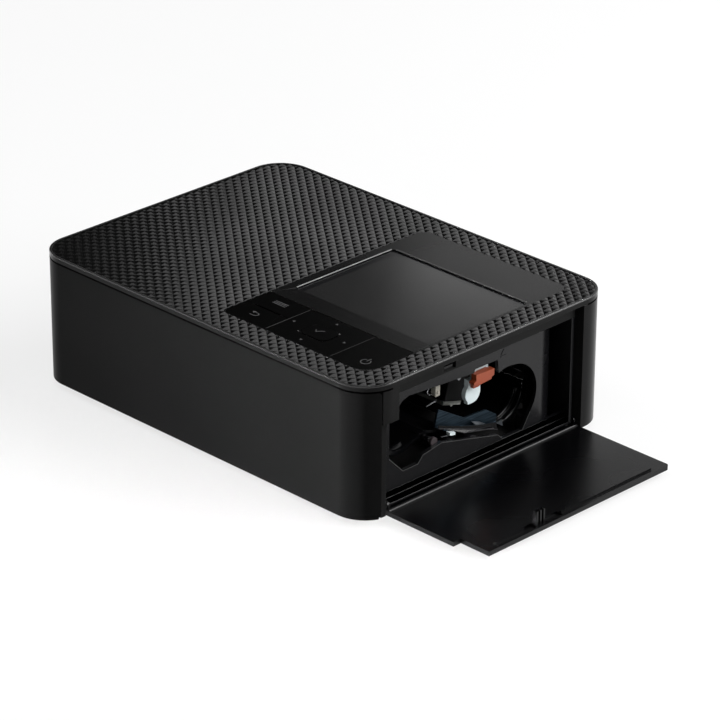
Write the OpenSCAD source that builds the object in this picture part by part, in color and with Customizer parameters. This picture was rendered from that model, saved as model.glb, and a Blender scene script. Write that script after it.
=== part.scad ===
// Compact dye-sublimation photo printer: a flat case with a hinged front cover, an ink-cartridge
// door on the right side, a key panel with a display, and the printing mechanism inside.
// All modules draw in case coordinates (case centred on X and Y, table at Z 0). in_case() then moves
// them so that the origin is the middle of the footprint with the door lying open.

/* [Case] */
// Width of the case, across X
case_w = 182.2; // [178:0.1:190]
// Depth of the case, front to back
case_d = 133; // [131:0.5:138]
// Height of the case above the table
case_h = 57.6; // [57:0.1:60]
// Plan radius of the upright corners
corner_r = 14; // [13:0.1:15]
// Wall thickness of the mouldings
wall = 1.8; // [1.6:0.1:2]
// Height of the case's underside above the table
base_z = 3.45; // [3:0.05:3.6]
// Height of the seam under the top cover's rim
seam_z = 55.3; // [55:0.1:55.6]

/* [Top cover and control panel] */
// Depth of the textured field below the rim
field_drop = 0.4; // [0.3:0.05:0.6]
// Width of the plain rim round the textured field
rim_w = 1; // [0.8:0.1:1.5]
// Left edge of the control panel
panel_left = 2; // [1:0.5:4]
// Right edge of the control panel
panel_right = 79.3; // [78:0.1:80]
// Front edge of the control panel
panel_front = -54.3; // [-55:0.1:-53.5]
// Back edge of the control panel
panel_back = 55; // [53:0.5:56]

/* [Hinged door and cover] */
// Rear end of the ink door
door_back = 50; // [49.5:0.1:50]
// Front end of the ink door
door_front = -52.7; // [-53:0.1:-52.5]
// Height of the door's and the front cover's hinge axis
hinge_z = 6.2; // [6:0.1:6.4]
// Distance from the outer face to the hinge axis
hinge_in = 3.6; // [3.5:0.05:3.7]
// Plan position where the front cover's side wings end
wing_end = -57.2; // [-58:0.1:-57]

/* [Mechanism] */
// Slope of the paper and ribbon path, in degrees
path_tilt = 16; // [15:0.5:17]
// Height of the path at the platen
path_z = 17.2; // [17:0.1:17.6]
// Radius of the platen roller
platen_r = 5; // [4.6:0.1:5]
// Radius of the capstan shaft
capstan_r = 2.5; // [2.2:0.1:2.5]
// Radius of the pinch rollers
pinch_r = 3.5; // [3:0.1:3.5]
// Size of the gear teeth, as metric module
tooth_m = 0.6; // [0.6:0.05:0.6]

/* [Hidden] */
$fn = 64;

right = case_w / 2;
back = case_d / 2;
hinge_x = right - hinge_in;
cover_hinge_y = -back + hinge_in;
door_reach = hinge_x + seam_z - 0.1 - hinge_z;
case_x = -(door_reach - right) / 2;

floor_top = base_z + 2;
lid_under = case_h - 1.5;
bay_x = 84.2;
bay_plate = 1.6;
pocket_x = 75.5;
pocket_r = 14;
pocket_front = 33.4;
band_x = 88.3;
apron_x = 88;
strip_x = 89.8;
strip_back = -54.3;
tab_back = -49.2;
tab_z = 41.5;
post_front = door_back + 0.3;
floor_right = bay_x + 0.1;
band_z = 50;
guide_top = 51.3;
bay_sill = 9.1;
lobe_r = 13.8;
toe_r = 4;

door_in = hinge_z - wall;
door_out = hinge_z - hinge_in;
pin_r = 0.9;
pin_hole_r = 0.95;
ear_r = 1.75;
bead_r = 1.1;
hook_back = -17.4;
hook_front = -21.8;
hook_low = 51.6;
hook_high = 53.5;
hook_tall = 5.6;

key_top = 57.3;
key_thick = 1.3;
key_gap = 0.2;
key_rear = -29.1;
key_front = panel_front + 0.7;
panel_top = 57.35;
ledge_z = 54;
panel_under = 55.1;
window_under = 56;
window = [6.4, -19.9, 78, 33.4];
divider_left = 25;
divider_right = 59;
slit_y = -41;
ok_at = [42.1, -41.5];
ok_size = [13.4, 9.8];

plate_x = -35;
gear_x = -44;
gear_thick = 5;
motor_plate_x = -47;
shaft_end = 81.8;
roller_left = -28;
roller_right = 78;
takeup = [-34.5, 30.5];
supply = [20, 23.2];
spool_r = 12.5;
locating = [-21.6, 19.7];
tray_thick = 1.2;
capstan = [42, 12];
pinch = [capstan[0], capstan[1] + capstan_r + pinch_r + 0.35];
platen = [-(platen_r + 0.2) * sin(path_tilt), path_z - (platen_r + 0.2) * cos(path_tilt)];
pickup_pivot = [-12.8, 15.6];
pickup = [-17.5, 10.9];

capstan_teeth = 18;
idler_teeth = 36;
feed_teeth = 12;
takeup_teeth = 40;
ribbon_teeth = 12;
idler_dir = 86;
feed_dir = 126;
ribbon_dir = 50;
idler_span = tooth_m * (capstan_teeth + idler_teeth) / 2;
feed_span = tooth_m * (idler_teeth + feed_teeth) / 2;
ribbon_span = tooth_m * (takeup_teeth + ribbon_teeth) / 2;
idler = capstan + idler_span * [cos(idler_dir), sin(idler_dir)];
feed = idler + feed_span * [cos(feed_dir), sin(feed_dir)];
ribbon = takeup + ribbon_span * [cos(ribbon_dir), sin(ribbon_dir)];
idler_turn = idler_dir + 180 + 180 / idler_teeth;
idler_past = (feed_dir - idler_turn) % (360 / idler_teeth);
feed_turn = feed_dir + 180 + 180 / feed_teeth + idler_past * idler_teeth / feed_teeth;
shaft_r = 2;
hub_shaft_r = 1.5;
motor_shaft_r = 1;

inlet = [-62, 16];
inlet_r = 3.1;
screw_r = 1.5;
feet_at = [[-66, -48], [-66, 50], [66, -48], [66, 50]];
screws_at = [[-80, -53], [-80, 56], [-42, -51], [-42, 58.5]];
frame_screws_at = [[79.2, -46], [79.2, 30]];

shell_color = "#1d1d1e";
frame_color = "#232325";
steel_color = "#a9adb0";

// ---- helpers ----

module in_case() {
    translate([case_x, 0, 0]) children();
}

// Box from one corner to the other
module block(low, high) {
    translate(low) cube(high - low);
}

// Extrude a drawing of the YZ plane along X
module along_x(from, to) {
    translate([from, 0, 0]) rotate([90, 0, 90]) linear_extrude(to - from) children();
}

// Extrude a drawing of the XZ plane along Y
module along_y(from, to) {
    translate([0, to, 0]) rotate([90, 0, 0]) linear_extrude(to - from) children();
}

module rod_x(at, r, from, to) {
    translate([from, at[0], at[1]]) rotate([0, 90, 0]) cylinder(r = r, h = to - from);
}

module rod_y(at, r, from, to) {
    translate([at[0], to, at[1]]) rotate([90, 0, 0]) cylinder(r = r, h = to - from);
}

// Rectangle with its own radius at each corner: front-left, front-right, back-right, back-left
module round_rect(low, high, radii) {
    difference() {
        translate(low) square(high - low);
        corner_cut([low[0], low[1]], [1, 1], radii[0]);
        corner_cut([high[0], low[1]], [-1, 1], radii[1]);
        corner_cut([high[0], high[1]], [-1, -1], radii[2]);
        corner_cut([low[0], high[1]], [1, -1], radii[3]);
    }
}

module corner_cut(at, way, r) {
    translate(at) scale([way[0], way[1]]) difference() {
        translate([-1, -1]) square(r + 1);
        translate([r, r]) circle(r);
    }
}

// Outline of the case, drawn in by a distance
module plan(inset) {
    r = corner_r - inset;
    half = [right - inset, back - inset];
    round_rect(-half, half, [r, r, r, r]);
}

module plan_slab(low, high, inset) {
    translate([0, 0, low]) linear_extrude(high - low) plan(inset);
}

// Frame of the sloping path: local y runs back along the path, local z stands square to it
module on_path() {
    translate([0, 0, path_z]) rotate([-path_tilt, 0, 0]) children();
}

module slot_2d(at, length, r, angle) {
    translate(at) rotate(angle) {
        translate([-length / 2, -r]) square([length, 2 * r]);
        for (end = [-1, 1]) translate([end * length / 2, 0]) circle(r);
    }
}

// Points of an arc in the YZ plane
function arc(centre, r, from, to, steps = 16) =
    [for (i = [0:steps]) centre + r * [cos(from + (to - from) * i / steps),
                                       sin(from + (to - from) * i / steps)]];

function backwards(list) = [for (i = [len(list) - 1:-1:0]) list[i]];

// Points of one gear tooth, narrow enough to run with play
function tooth(teeth, i) =
    let (pitch_r = tooth_m * teeth / 2, step = 360 / teeth, mid = i * step)
    [for (p = [[-0.28, -1.2], [-0.19, 0], [-0.09, 0.8], [0.09, 0.8], [0.19, 0], [0.28, -1.2]])
        (pitch_r + p[1] * tooth_m) * [cos(mid + p[0] * step), sin(mid + p[0] * step)]];

module gear(at, teeth, turn, bore_r, from, to) {
    along_x(from, to) translate(at) difference() {
        rotate(turn) polygon([for (i = [0:teeth - 1]) each tooth(teeth, i)]);
        circle(bore_r);
    }
}

// ---- case ----

module lower_case() in_case() color(shell_color) {
    difference() {
        union() {
            difference() {
                plan_slab(base_z, seam_z - 0.3, 0);
                plan_slab(floor_top, case_h, wall);
            }
            lower_case_posts();
        }
        // room for the front cover and its hinge
        block([-right - 1, -back - 1, base_z - 1], [right + 1, wing_end + 0.4, case_h]);
        // room for the ink door and the bay behind it
        block([floor_right, strip_back, base_z - 1], [right + 1, post_front, case_h]);
        block([strip_x, -back, base_z - 1], [right + 1, strip_back + 1, case_h]);
        block([88.5, -back, tab_z - 0.3], [right + 1, strip_back + 1, case_h]);
        rod_y([hinge_x, hinge_z], pin_hole_r, -56.4, 52.9);
        lower_case_ports();
        for (at = concat(screws_at, frame_screws_at)) translate([at[0], at[1], base_z - 1]) {
            cylinder(r = screw_r + 0.1, h = 4);
            cylinder(r = 3, h = 2);
        }
    }
    difference() {
        cover_lugs();
        rod_x([cover_hinge_y, hinge_z], pin_hole_r, -79, 79);
    }
}

module lower_case_posts() {
    intersection() {
        plan_slab(base_z, seam_z - 0.3, 0);
        union() {
            block([floor_right, wing_end, base_z], [right, strip_back, seam_z - 0.3]);
            block([floor_right, post_front, base_z], [right, post_front + 2.3, seam_z - 0.3]);
        }
    }
}

module lower_case_ports() {
    // paper outlet in the back
    block([-32, back - wall - 1, 12.5], [74, back + 1, 18.5]);
    // power inlet and battery contacts in the back
    rod_y(inlet, 4.6, back - wall - 1, back + 1);
    block([-76.5, back - 0.8, 30], [-40, back + 1, 40]);
    // memory card slot and data port in the left side
    block([-right - 1, -46, 28], [-right + wall + 1, -21, 31]);
    block([-right - 1, -14, 27], [-right + wall + 1, -0.5, 33]);
    // cooling slots in the left side
    for (i = [0:9]) block([-right - 1, 12 + i * 4, 16], [-right + wall + 1, 13.6 + i * 4, 44]);
    // cooling slots in the floor, under the paper path
    for (i = [0:7]) block([-24 + i * 8, -20, base_z - 1], [-20 + i * 8, 20, floor_top + 1]);
}

module cover_lugs() {
    for (side = [-1, 1]) scale([side, 1, 1]) {
        block([73, cover_hinge_y, hinge_z - 1.5], [77.5, -57, hinge_z + 1.6]);
        block([-1, -59.7, base_z], [80, -56, floor_top]);
        rod_x([cover_hinge_y, hinge_z], 1.6, 73, 77.5);
    }
}

module top_cover() in_case() color(shell_color) difference() {
    union() {
        difference() {
            plan_slab(seam_z, case_h, 0);
            plan_slab(seam_z - 1, lid_under, wall);
            plan_slab(case_h - field_drop, case_h + 1, rim_w);
        }
        top_cover_side();
        // ledge that carries the control panel
        translate([0, 0, ledge_z]) linear_extrude(lid_under - ledge_z + 0.4) panel_outline(1.4);
        for (at = screws_at) translate([at[0], at[1], floor_top]) cylinder(r = 3, h = lid_under - floor_top);
    }
    translate([0, 0, panel_under]) linear_extrude(4) panel_outline(0.12);
    translate([0, 0, 50]) linear_extrude(10) panel_outline(-1.2);
    for (at = screws_at) translate([at[0], at[1], floor_top - 1]) cylinder(r = screw_r, h = 9);
}

// Tab at the front of the right side, and the recessed band over the cartridge bay
module top_cover_side() {
    intersection() {
        plan_slab(tab_z, seam_z + 0.5, 0);
        block([88.8, wing_end + 0.4, tab_z], [right, tab_back, seam_z + 0.5]);
    }
    difference() {
        block([band_x - wall, tab_back - 5, band_z + 0.2], [band_x, 48.3, seam_z + 1]);
        block([band_x - 3, hook_front - 1.1, hook_low - 0.9], [band_x + 1, hook_back + 0.6, hook_high + 0.3]);
    }
    block([band_x - 1, tab_back - 5, band_z + 0.2], [band_x, tab_back, seam_z]);
    // underside of the rim, from the band out to the side
    intersection() {
        plan_slab(seam_z, seam_z + 1, 0);
        block([band_x - wall, -54, seam_z], [right, 52, seam_z + 1]);
    }
}

module panel_outline(grow) {
    round_rect([panel_left - grow, panel_front - grow], [panel_right + grow, panel_back + grow],
               [3 + grow, 8 + grow, 5 + grow, 5 + grow]);
}

module front_cover() in_case() color(shell_color) {
    difference() {
        plan_slab(base_z, seam_z - 0.3, 0);
        plan_slab(base_z - 1, seam_z, wall);
        block([-right - 1, wing_end, base_z - 1], [right + 1, back + 1, seam_z]);
        // lower corners of the wings, rounded about the hinge
        difference() {
            block([-right - 1, cover_hinge_y, base_z - 1], [right + 1, back, hinge_z]);
            rod_x([cover_hinge_y, hinge_z], 5.4, -right - 2, right + 2);
        }
        // upper corners of the wings
        for (side = [-1, 1]) scale([side, 1, 1]) along_x(80, right + 1) wing_corner();
    }
    // stiffening ribs on the back
    for (z = [20, 34, 48]) block([-70, -back + 1, z], [70, -back + 3, z + 1]);
    for (x = [-48, -16, 16, 48]) block([x, -back + 1, 14], [x + 1, -back + 3, 50]);
    // hinge knuckles
    for (side = [-1, 1]) scale([side, 1, 1]) difference() {
        union() {
            rod_x([cover_hinge_y, hinge_z], 1.6, 78, 82);
            block([78, -back + 1, hinge_z - 1.2], [82, cover_hinge_y, hinge_z + 1.2]);
        }
        rod_x([cover_hinge_y, hinge_z], pin_r, 77, 81.5);
    }
}

module wing_corner() {
    translate([wing_end, seam_z - 0.3]) scale([-1, -1]) difference() {
        translate([-1, -1]) square(3);
        translate([2, 2]) circle(2);
    }
}

// ---- ink door, drawn lying open ----

module cartridge_door() in_case() color(shell_color) difference() {
    union() {
        difference() {
            translate([0, 0, door_out]) linear_extrude(door_in - door_out) door_outline();
            // sunk fields beside the latch hook
            for (span = [[-27.6, hook_front - 0.1], [hook_back + 0.1, -8.2]]) {
                block([132, span[0], door_in - 0.9], [135.3, span[1], door_in + 1]);
            }
        }
        rod_y([89.3, 4.2], bead_r, door_front, door_back);
        for (y = [door_front, door_back - 1.3]) {
            rod_y([hinge_x, hinge_z], ear_r, y, y + 1.3);
            block([hinge_x - 1, y, door_in - 0.5], [hinge_x + 1, y + 1.3, hinge_z]);
        }
        door_lips();
        door_hook();
    }
    rod_y([hinge_x, hinge_z], pin_r, door_front - 1, door_back + 1);
}

module door_outline() {
    notch_x = hinge_x + tab_z - 0.3 - hinge_z;
    difference() {
        round_rect([hinge_x + base_z - hinge_z, door_front], [door_reach, door_back],
                   [0.5, 0.5, 1.5, 0.5]);
        translate([notch_x, door_front - 1]) square([20, tab_back + 0.4 - door_front + 1]);
    }
}

// Raised lips along the free edge
module door_lips() {
    for (span = [[-42.9, -27.8], [-8, 42]]) {
        block([133.3, span[0], door_in - 0.2], [134.3, span[1], door_in + 0.7]);
    }
}

// Latch hook: a back plate and three ribs
module door_hook() {
    low = hinge_x + hook_low - hinge_z;
    high = hinge_x + hook_high - hinge_z;
    block([low, hook_front, door_in - 0.2], [low + 0.6, hook_back, door_in + hook_tall]);
    for (y = [hook_front, (hook_front + hook_back) / 2 - 0.4, hook_back - 0.8]) {
        block([low, y, door_in - 0.2], [high, y + 0.8, door_in + hook_tall]);
    }
}

module door_pins() in_case() color(steel_color) {
    rod_y([hinge_x, hinge_z], pin_r, -56.2, door_front + 1.2);
    rod_y([hinge_x, hinge_z], pin_r, door_back - 1.2, 52.5);
}

module cover_pins() in_case() color(steel_color) {
    for (side = [-1, 1]) scale([side, 1, 1]) {
        rod_x([cover_hinge_y, hinge_z], pin_r, 73.5, 81.5);
    }
}

// ---- control panel ----

module control_panel() in_case() color("#101011") {
    difference() {
        translate([0, 0, panel_under]) linear_extrude(panel_top - panel_under) panel_outline(0);
        translate([0, 0, panel_under - 1]) linear_extrude(5) keys_outline(key_gap);
        translate([0, 0, window_under]) linear_extrude(2) window_outline(0);
        block([9, -18, panel_under - 1], [77, 31, 57]);
        block([6, 36, panel_under - 1], [75, 52, window_under]);
    }
}

module window_outline(inset) {
    round_rect([window[0] + inset, window[1] + inset], [window[2] - inset, window[3] - inset],
               [0.6, 0.6, 2.5, 2.5]);
}

module keys_outline(grow) {
    round_rect([panel_left + 0.7 - grow, key_front - grow], [panel_right - 0.7 + grow, key_rear + grow],
               [2.5 + grow, 7.4 + grow, 0.3, 0.3]);
}

module lcd_window() in_case() color("#2a2b2c") {
    translate([0, 0, window_under]) linear_extrude(0.8) window_outline(0.05);
}

module lcd_module() in_case() color("#3c3c3c") {
    block([9.3, -17.8, panel_under - 0.1], [76.7, 30.7, window_under - 0.1]);
    block([7, -24, panel_under - 2.6], [77.9, 32.5, panel_under]);
}

// One key cap: its part of the key field, from one side line to the other
module key_cap(left, front, right_side, rear) {
    translate([0, 0, key_top - key_thick]) linear_extrude(key_thick) intersection() {
        keys_outline(0);
        translate([left, front]) square([right_side - left, rear - front]);
    }
}

module menu_key() in_case() color("#0f0f10") difference() {
    key_cap(0, slit_y + key_gap / 2, divider_left - key_gap / 2, 0);
    key_slit();
}

module back_key() in_case() color("#0f0f10") difference() {
    key_cap(0, -60, divider_left - key_gap / 2, slit_y - key_gap / 2);
    key_slit();
}

// Wider slit between the two left keys
module key_slit() {
    translate([0, 0, key_top - 1]) linear_extrude(2) slot_2d([13.7, slit_y], 13.2, 0.35, 0);
}

module power_key() in_case() color("#0f0f10") {
    key_cap(divider_right + key_gap / 2, -60, 90, 0);
}

module nav_pad() in_case() color("#0f0f10") difference() {
    key_cap(divider_left + key_gap / 2, -60, divider_right - key_gap / 2, 0);
    translate([0, 0, key_top - 3]) linear_extrude(6) ok_outline(key_gap);
}

// The small gimbal ring that lets the pad tilt about two axes
module nav_pivot() in_case() color("#2c2c2e") difference() {
    translate([ok_at[0], ok_at[1], 55.25]) cylinder(r = 11, h = 0.35);
    translate([0, 0, 50]) linear_extrude(10) ok_outline(0.8);
}

module ok_outline(grow) {
    half = ok_size / 2 + [grow, grow];
    translate(ok_at) round_rect(-half, half, [3, 3, 3, 3] + [grow, grow, grow, grow]);
}

module ok_key() in_case() color("#111112") {
    translate([0, 0, key_top - key_thick]) linear_extrude(key_thick + 0.15) ok_outline(0);
}

// Silicone sheet with a dome under each key
module key_domes() in_case() color("#6b6e70") {
    block([3.8, -51.2, ledge_z], [75.2, -29.8, ledge_z + 0.5]);
    for (at = [[13.8, -35.1], [14.1, -47.8], ok_at, [72.1, -45]]) {
        translate([at[0], at[1], ledge_z + 0.4]) cylinder(r1 = 2.6, r2 = 1.6, h = 1.2);
    }
}

module key_board() in_case() color("#1f5a3a") {
    block([2.6, -53.4, ledge_z - 1.2], [78.7, -28.6, ledge_z]);
}

// ---- cartridge bay ----

module bay_frame() in_case() color(frame_color) difference() {
    union() {
        along_x(bay_x - bay_plate, bay_x) difference() {
            translate([strip_back + 0.1, floor_top])
                square([pocket_front - strip_back - 0.1, band_z - floor_top]);
            bay_opening();
        }
        translate([0, 0, floor_top]) linear_extrude(band_z - floor_top) bay_pocket();
        // sill and the slope of the apron
        along_y(strip_back + 0.1, 48.3) polygon([[bay_x - bay_plate, floor_top],
            [bay_x - bay_plate, bay_sill], [bay_x, bay_sill], [apron_x, hinge_z + 0.1],
            [apron_x, 5.6], [bay_x - 0.1, 5.6], [bay_x - 0.1, floor_top]]);
        // foot flange with its screw bosses
        block([bay_x - 6, -50, floor_top], [bay_x - 1, 34, floor_top + 1]);
        for (at = frame_screws_at) translate([at[0], at[1], floor_top]) cylinder(r = 2.6, h = 8);
        rod_x(platen, 3.2, bay_x - 4.6, bay_x - 1);
        for (at = [capstan, pinch]) rod_x(at, 3.2, pocket_x - 4, pocket_x - 1);
        rod_x(pickup_pivot, 2.2, bay_x - 4.6, bay_x - 1);
        lever_guides();
    }
    rod_x(platen, shaft_r + 0.05, bay_x - 6, shaft_end + 0.3);
    rod_x(capstan, capstan_r + 0.05, pocket_x - 6, pocket_x - 0.9);
    rod_x(pinch, hub_shaft_r + 0.05, pocket_x - 6, pocket_x - 0.9);
    for (at = frame_screws_at) translate([at[0], at[1], floor_top - 1]) cylinder(r = screw_r, h = 7);
    rod_x(pickup_pivot, 1.25, bay_x - 6, shaft_end + 0.3);
    // room for the door's hinge ears
    rod_y([hinge_x, hinge_z], ear_r + 0.4, door_front - 0.4, door_front + 1.7);
    block([hinge_x - 1.6, door_front - 0.4, 3], [hinge_x + 2, door_front + 1.7, hinge_z]);
    rod_y([hinge_x, hinge_z], ear_r + 0.4, door_back - 1.7, door_back + 1);
    rod_y([hinge_x, hinge_z], pin_r + 0.3, strip_back, door_front);
}

// Rear end of the bay, in plan: the plate curves inward to an end wall, with a bearing wall behind it
module bay_pocket() {
    end_wall = 46.8;
    end_thick = 1.5;
    intersection() {
        translate([bay_x - pocket_r, pocket_front]) difference() {
            circle(pocket_r);
            circle(pocket_r - bay_plate);
        }
        translate([pocket_x - bay_plate, pocket_front - 0.1])
            square([bay_x - pocket_x + 2 * bay_plate, end_wall + 0.2 - pocket_front]);
    }
    translate([pocket_x - bay_plate, 36]) square([bay_plate, end_wall + end_thick - 36]);
    translate([pocket_x - bay_plate, end_wall]) square([band_x - 0.2 - pocket_x + bay_plate, end_thick]);
    translate([bay_x - bay_plate, end_wall]) square([bay_plate, post_front - 0.2 - end_wall]);
}

// Opening that the ink cartridge goes through, in the YZ plane
module bay_opening() {
    polygon([[-47.2, 22.2], [-39.9, 14.9], [-32, 15], [-29.4, 17.8], [-19.3, 19.4], [11.3, 11.9],
             [13.9, 9.4], [24.9, 9.4], [31.2, 19.2], [31.2, 28], [21.45, 37.7], [11.05, 36.6],
             [10.3, 43.5], [-1.8, 43.6], [-2.5, 42.2], [-20.4, 43.4], [-37.2, 44.6], [-40.5, 43.6],
             [-47.2, 37.5]]);
    // round rear lobe
    translate([16.2, 25]) circle(lobe_r);
    translate([18.4, 24.7]) circle(lobe_r);
}

module lever_guides() {
    for (y = [-1.6, 9.6]) block([bay_x - 7, y, 44], [bay_x - 1, y + 1.2, guide_top]);
    block([bay_x - 7, -1.6, guide_top - 1.2], [bay_x - 1, 10.8, guide_top]);
}

module eject_lever() in_case() color("#c25c33") {
    // finger face with its slanting lower edge
    along_x(81.5, 84.1) polygon([[-1.15, 40.8], [8.6, 40.5], [8.6, 37.8], [7.4, 37.4], [7.2, 36.6],
             [4.05, 36.4], [1, 36.2], [-1.6, 36.6], [-2.3, 37], [-2.3, 37.7], [-1.1, 38.5]]);
    // set-back lip below it
    along_x(81.5, 83.2) polygon([[-1.9, 37.2], [-1.6, 35.1], [1.15, 35.1], [3.6, 36.25], [4, 37.2]]);
    block([80.7, 2.2, 36.8], [81.6, 7.4, 40.4]);
}

// White catch that the lever lifts
module latch_arm() in_case() color("#dfe3e4") difference() {
    along_x(78.7, 80.7) {
        translate([0.9, 36]) square([7.8, 10.2]);
        translate([-2, 31.7]) square([6.7, 6]);
        // round toe
        translate([0.7, 31.7]) circle(toe_r);
        translate([-2, 27.7]) square([2.7, 5]);
    }
    block([78, 3.4, 44.2], [79.6, 6.4, 47]);
}

module lever_spring() in_case() color(steel_color) {
    for (i = [0:4]) translate([79.7, 4.8, 46.9 + i * 0.7]) {
        rotate_extrude() translate([1.3, 0]) circle(0.2, $fn = 16);
    }
    translate([79.7, 4.8, 46.3]) cylinder(r = 1.1, h = 3.7);
}

// Blue-black steel end plate with a shallow V, and its bright flange
module ribbon_guide() in_case() color("#25323c") on_path() {
    along_x(77.5, 78.5) polygon([[-18.2, 0.4], [-18.2, 7.6], [-2.5, 3.6], [9.6, 6.1], [15.9, 4.1],
                                 [16.9, -1], [8, 0.4]]);
    block([78.4, -15, -0.4], [80.4, 14.5, 0.4]);
}

// Pale optical sensor that hangs from the bay frame and watches the ribbon
module ribbon_sensor() in_case() color("#c8c6bd") {
    block([76.6, -17.7, 35.6], [79, -15.3, 47]);
    block([78.9, -18.3, 45], [bay_x - bay_plate, -13.9, 47]);
    rod_x([-16.5, 37.2], 0.6, 78.9, 79.4);
}

module locating_pin() in_case() color("#77797b") {
    rod_x(locating, 1.7, 81.2, 82.4);
    rod_x(locating, 1, 73, 81.3);
}

// ---- chassis ----

module front_frame() in_case() color(frame_color) difference() {
    intersection() {
        block([-85, -59.4, floor_top + 0.1], [82, -57.9, 54.9]);
        plan_slab(0, 60, wall + 1);
    }
    block([-33, -61, floor_top - 1], [80.5, -56, 24]);
    for (side = [-1, 1]) scale([side, 1, 1]) block([72.6, -61, 0], [78, -57, 8.2]);
}

module left_plate() in_case() color(steel_color) along_x(plate_x - 1, plate_x) difference() {
    translate([-54, floor_top]) square([106, 44]);
    translate(platen) circle(shaft_r + 0.05);
    translate(capstan) circle(capstan_r + 0.05);
    translate(pinch) circle(hub_shaft_r + 0.05);
    translate(pickup_pivot) circle(1.25);
    translate(takeup) circle(hub_shaft_r + 0.05);
    translate(supply) circle(hub_shaft_r + 0.05);
    head_slots();
    translate([-54, floor_top - 1]) square([30, 10]);
}

// Slots that guide the print head's pins square to the path
module head_slots() {
    for (along = [-5, 5]) {
        translate([0, path_z]) rotate(-path_tilt) slot_2d([along, 16], 5, 1.3, 90);
    }
}

module gear_plate() in_case() color(steel_color) {
    along_x(motor_plate_x - 1, motor_plate_x) difference() {
        translate([-46, 12.6]) square([100, 37.4]);
        translate(feed) circle(3);
        translate(ribbon) circle(3);
        translate(idler) circle(1.5);
        translate([-18, 11]) square([38, 27]);
    }
    for (at = [[-42, 17], [-10, 46], [22, 46], [52, 15]]) rod_x(at, 2, motor_plate_x, plate_x - 1);
}

// Trough round the take-up spool, with the slope down to the platen
module takeup_tray() in_case() color("#161618") {
    top = concat(arc(takeup, spool_r, 195, 297), [[-21, 21.9], [-8.6, 18.7]]);
    under = concat(arc(takeup, spool_r + tray_thick, 195, 297), [[-21, 20.6], [-8.6, 17.6]]);
    difference() {
        union() {
            along_x(plate_x + 0.6, 76.4) polygon(concat(top, backwards(under)));
            tray_ribs(takeup, 200, 290);
            // lug that holds the locating pin
            block([72, -23.6, 17.6], [76.4, -19.6, 21.4]);
        }
        rod_x(locating, 1, 73, 78);
    }
}

// Two raised ribs round the trough, near its open end
module tray_ribs(at, from, to) {
    for (x = [72.4, 75.9]) {
        along_x(x, x + 1.4) polygon(concat(arc(at, spool_r - 1.2, from, to),
                                           backwards(arc(at, spool_r + 0.5, from, to))));
    }
}

// Trough round the supply spool
module supply_tray() in_case() color("#161618") {
    top = concat([[4.6, 14.4], [9.6, 13.6]], arc(supply, spool_r, 228, 365));
    under = concat([[4.6, 13.4], [9.6, 12.4]], arc(supply, spool_r + tray_thick, 228, 365));
    along_x(plate_x + 0.6, 76.4) polygon(concat(top, backwards(under)));
    tray_ribs(supply, 230, 350);
}

// ---- print head ----

module head_bracket() in_case() color("#3a3836") on_path() difference() {
    block([-29, -8, 8], [72, 8, 23]);
    block([-27, -6.4, 7], [70, 6.4, 21.5]);
    for (along = [-5, 5]) rod_x([along, 18], 1, -40, 90);
}

module heat_sink() in_case() color("#8d9194") on_path() {
    block([-26, -6, 7], [69, 6, 10.5]);
    for (i = [0:5]) block([-26, -6 + i * 2.1, 10.4], [69, -5 + i * 2.1, 15]);
}

module print_head() in_case() color("#cfd2cc") on_path() {
    block([-26, -5, 5.4], [69, 5, 7]);
    rod_x([0, 5.6], 0.8, -26, 69);
}

module head_pins() in_case() color(steel_color) on_path() {
    for (along = [-5, 5]) {
        rod_x([along, 18], 1, -37, -27.5);
        rod_x([along, 18], 1, 70.5, 74);
    }
}

// ---- rollers and hubs ----

module platen_shaft() in_case() color(steel_color) {
    rod_x(platen, shaft_r, plate_x - 2.5, shaft_end);
}

module platen_sleeve() in_case() color("#2f2f30") difference() {
    rod_x(platen, platen_r, roller_left, roller_right - 2);
    rod_x(platen, shaft_r, roller_left - 1, roller_right);
}

module capstan_shaft() in_case() color(steel_color) {
    rod_x(capstan, capstan_r, gear_x - 0.5, pocket_x - 1.2);
}

module capstan_gear() in_case() color("#d9d5c6") {
    gear(capstan, capstan_teeth, idler_dir, capstan_r, gear_x, gear_x + gear_thick);
}

module pinch_rollers() in_case() color("#3a3a3b") {
    rod_x(pinch, hub_shaft_r, plate_x - 1.6, pocket_x - 1.2);
    for (x = [-24, 12, 48]) rod_x(pinch, pinch_r, x, x + 18);
}

module pickup_arm() in_case() color("#2a2a2c") {
    rod_x(pickup_pivot, 1.2, plate_x - 1.6, shaft_end);
    for (x = [2, 38]) along_x(x, x + 2) difference() {
        union() {
            translate(pickup_pivot) circle(2);
            translate(pickup) circle(2);
            translate((pickup + pickup_pivot) / 2) rotate(45) square([6.6, 3], center = true);
        }
        translate(pickup) circle(1.05);
    }
}

module pickup_roller() in_case() color("#343434") {
    rod_x(pickup, 3.6, 8, 34);
    rod_x(pickup, 1, 1, 41);
}

module idler_gear() in_case() color("#d9d5c6") {
    gear(idler, idler_teeth, idler_turn, 1.55, gear_x, gear_x + gear_thick);
}

module idler_pin() in_case() color(steel_color) {
    rod_x(idler, 1.5, motor_plate_x - 1.5, plate_x - 1);
}

module motor(at, r, length) {
    rod_x(at, r, motor_plate_x - 1 - length, motor_plate_x - 1);
    rod_x(at, 2.8, motor_plate_x - 1.1, motor_plate_x);
}

module feed_motor() in_case() color("#9a9da0") difference() {
    motor(feed, 10.5, 20);
    rod_x(feed, motor_shaft_r + 0.05, motor_plate_x - 12, motor_plate_x + 1);
}

module feed_pinion() in_case() color("#b49a5a") {
    gear(feed, feed_teeth, feed_turn, motor_shaft_r - 0.1, gear_x - 0.5, gear_x + gear_thick + 0.5);
    rod_x(feed, motor_shaft_r, motor_plate_x - 10, gear_x + gear_thick);
}

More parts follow.
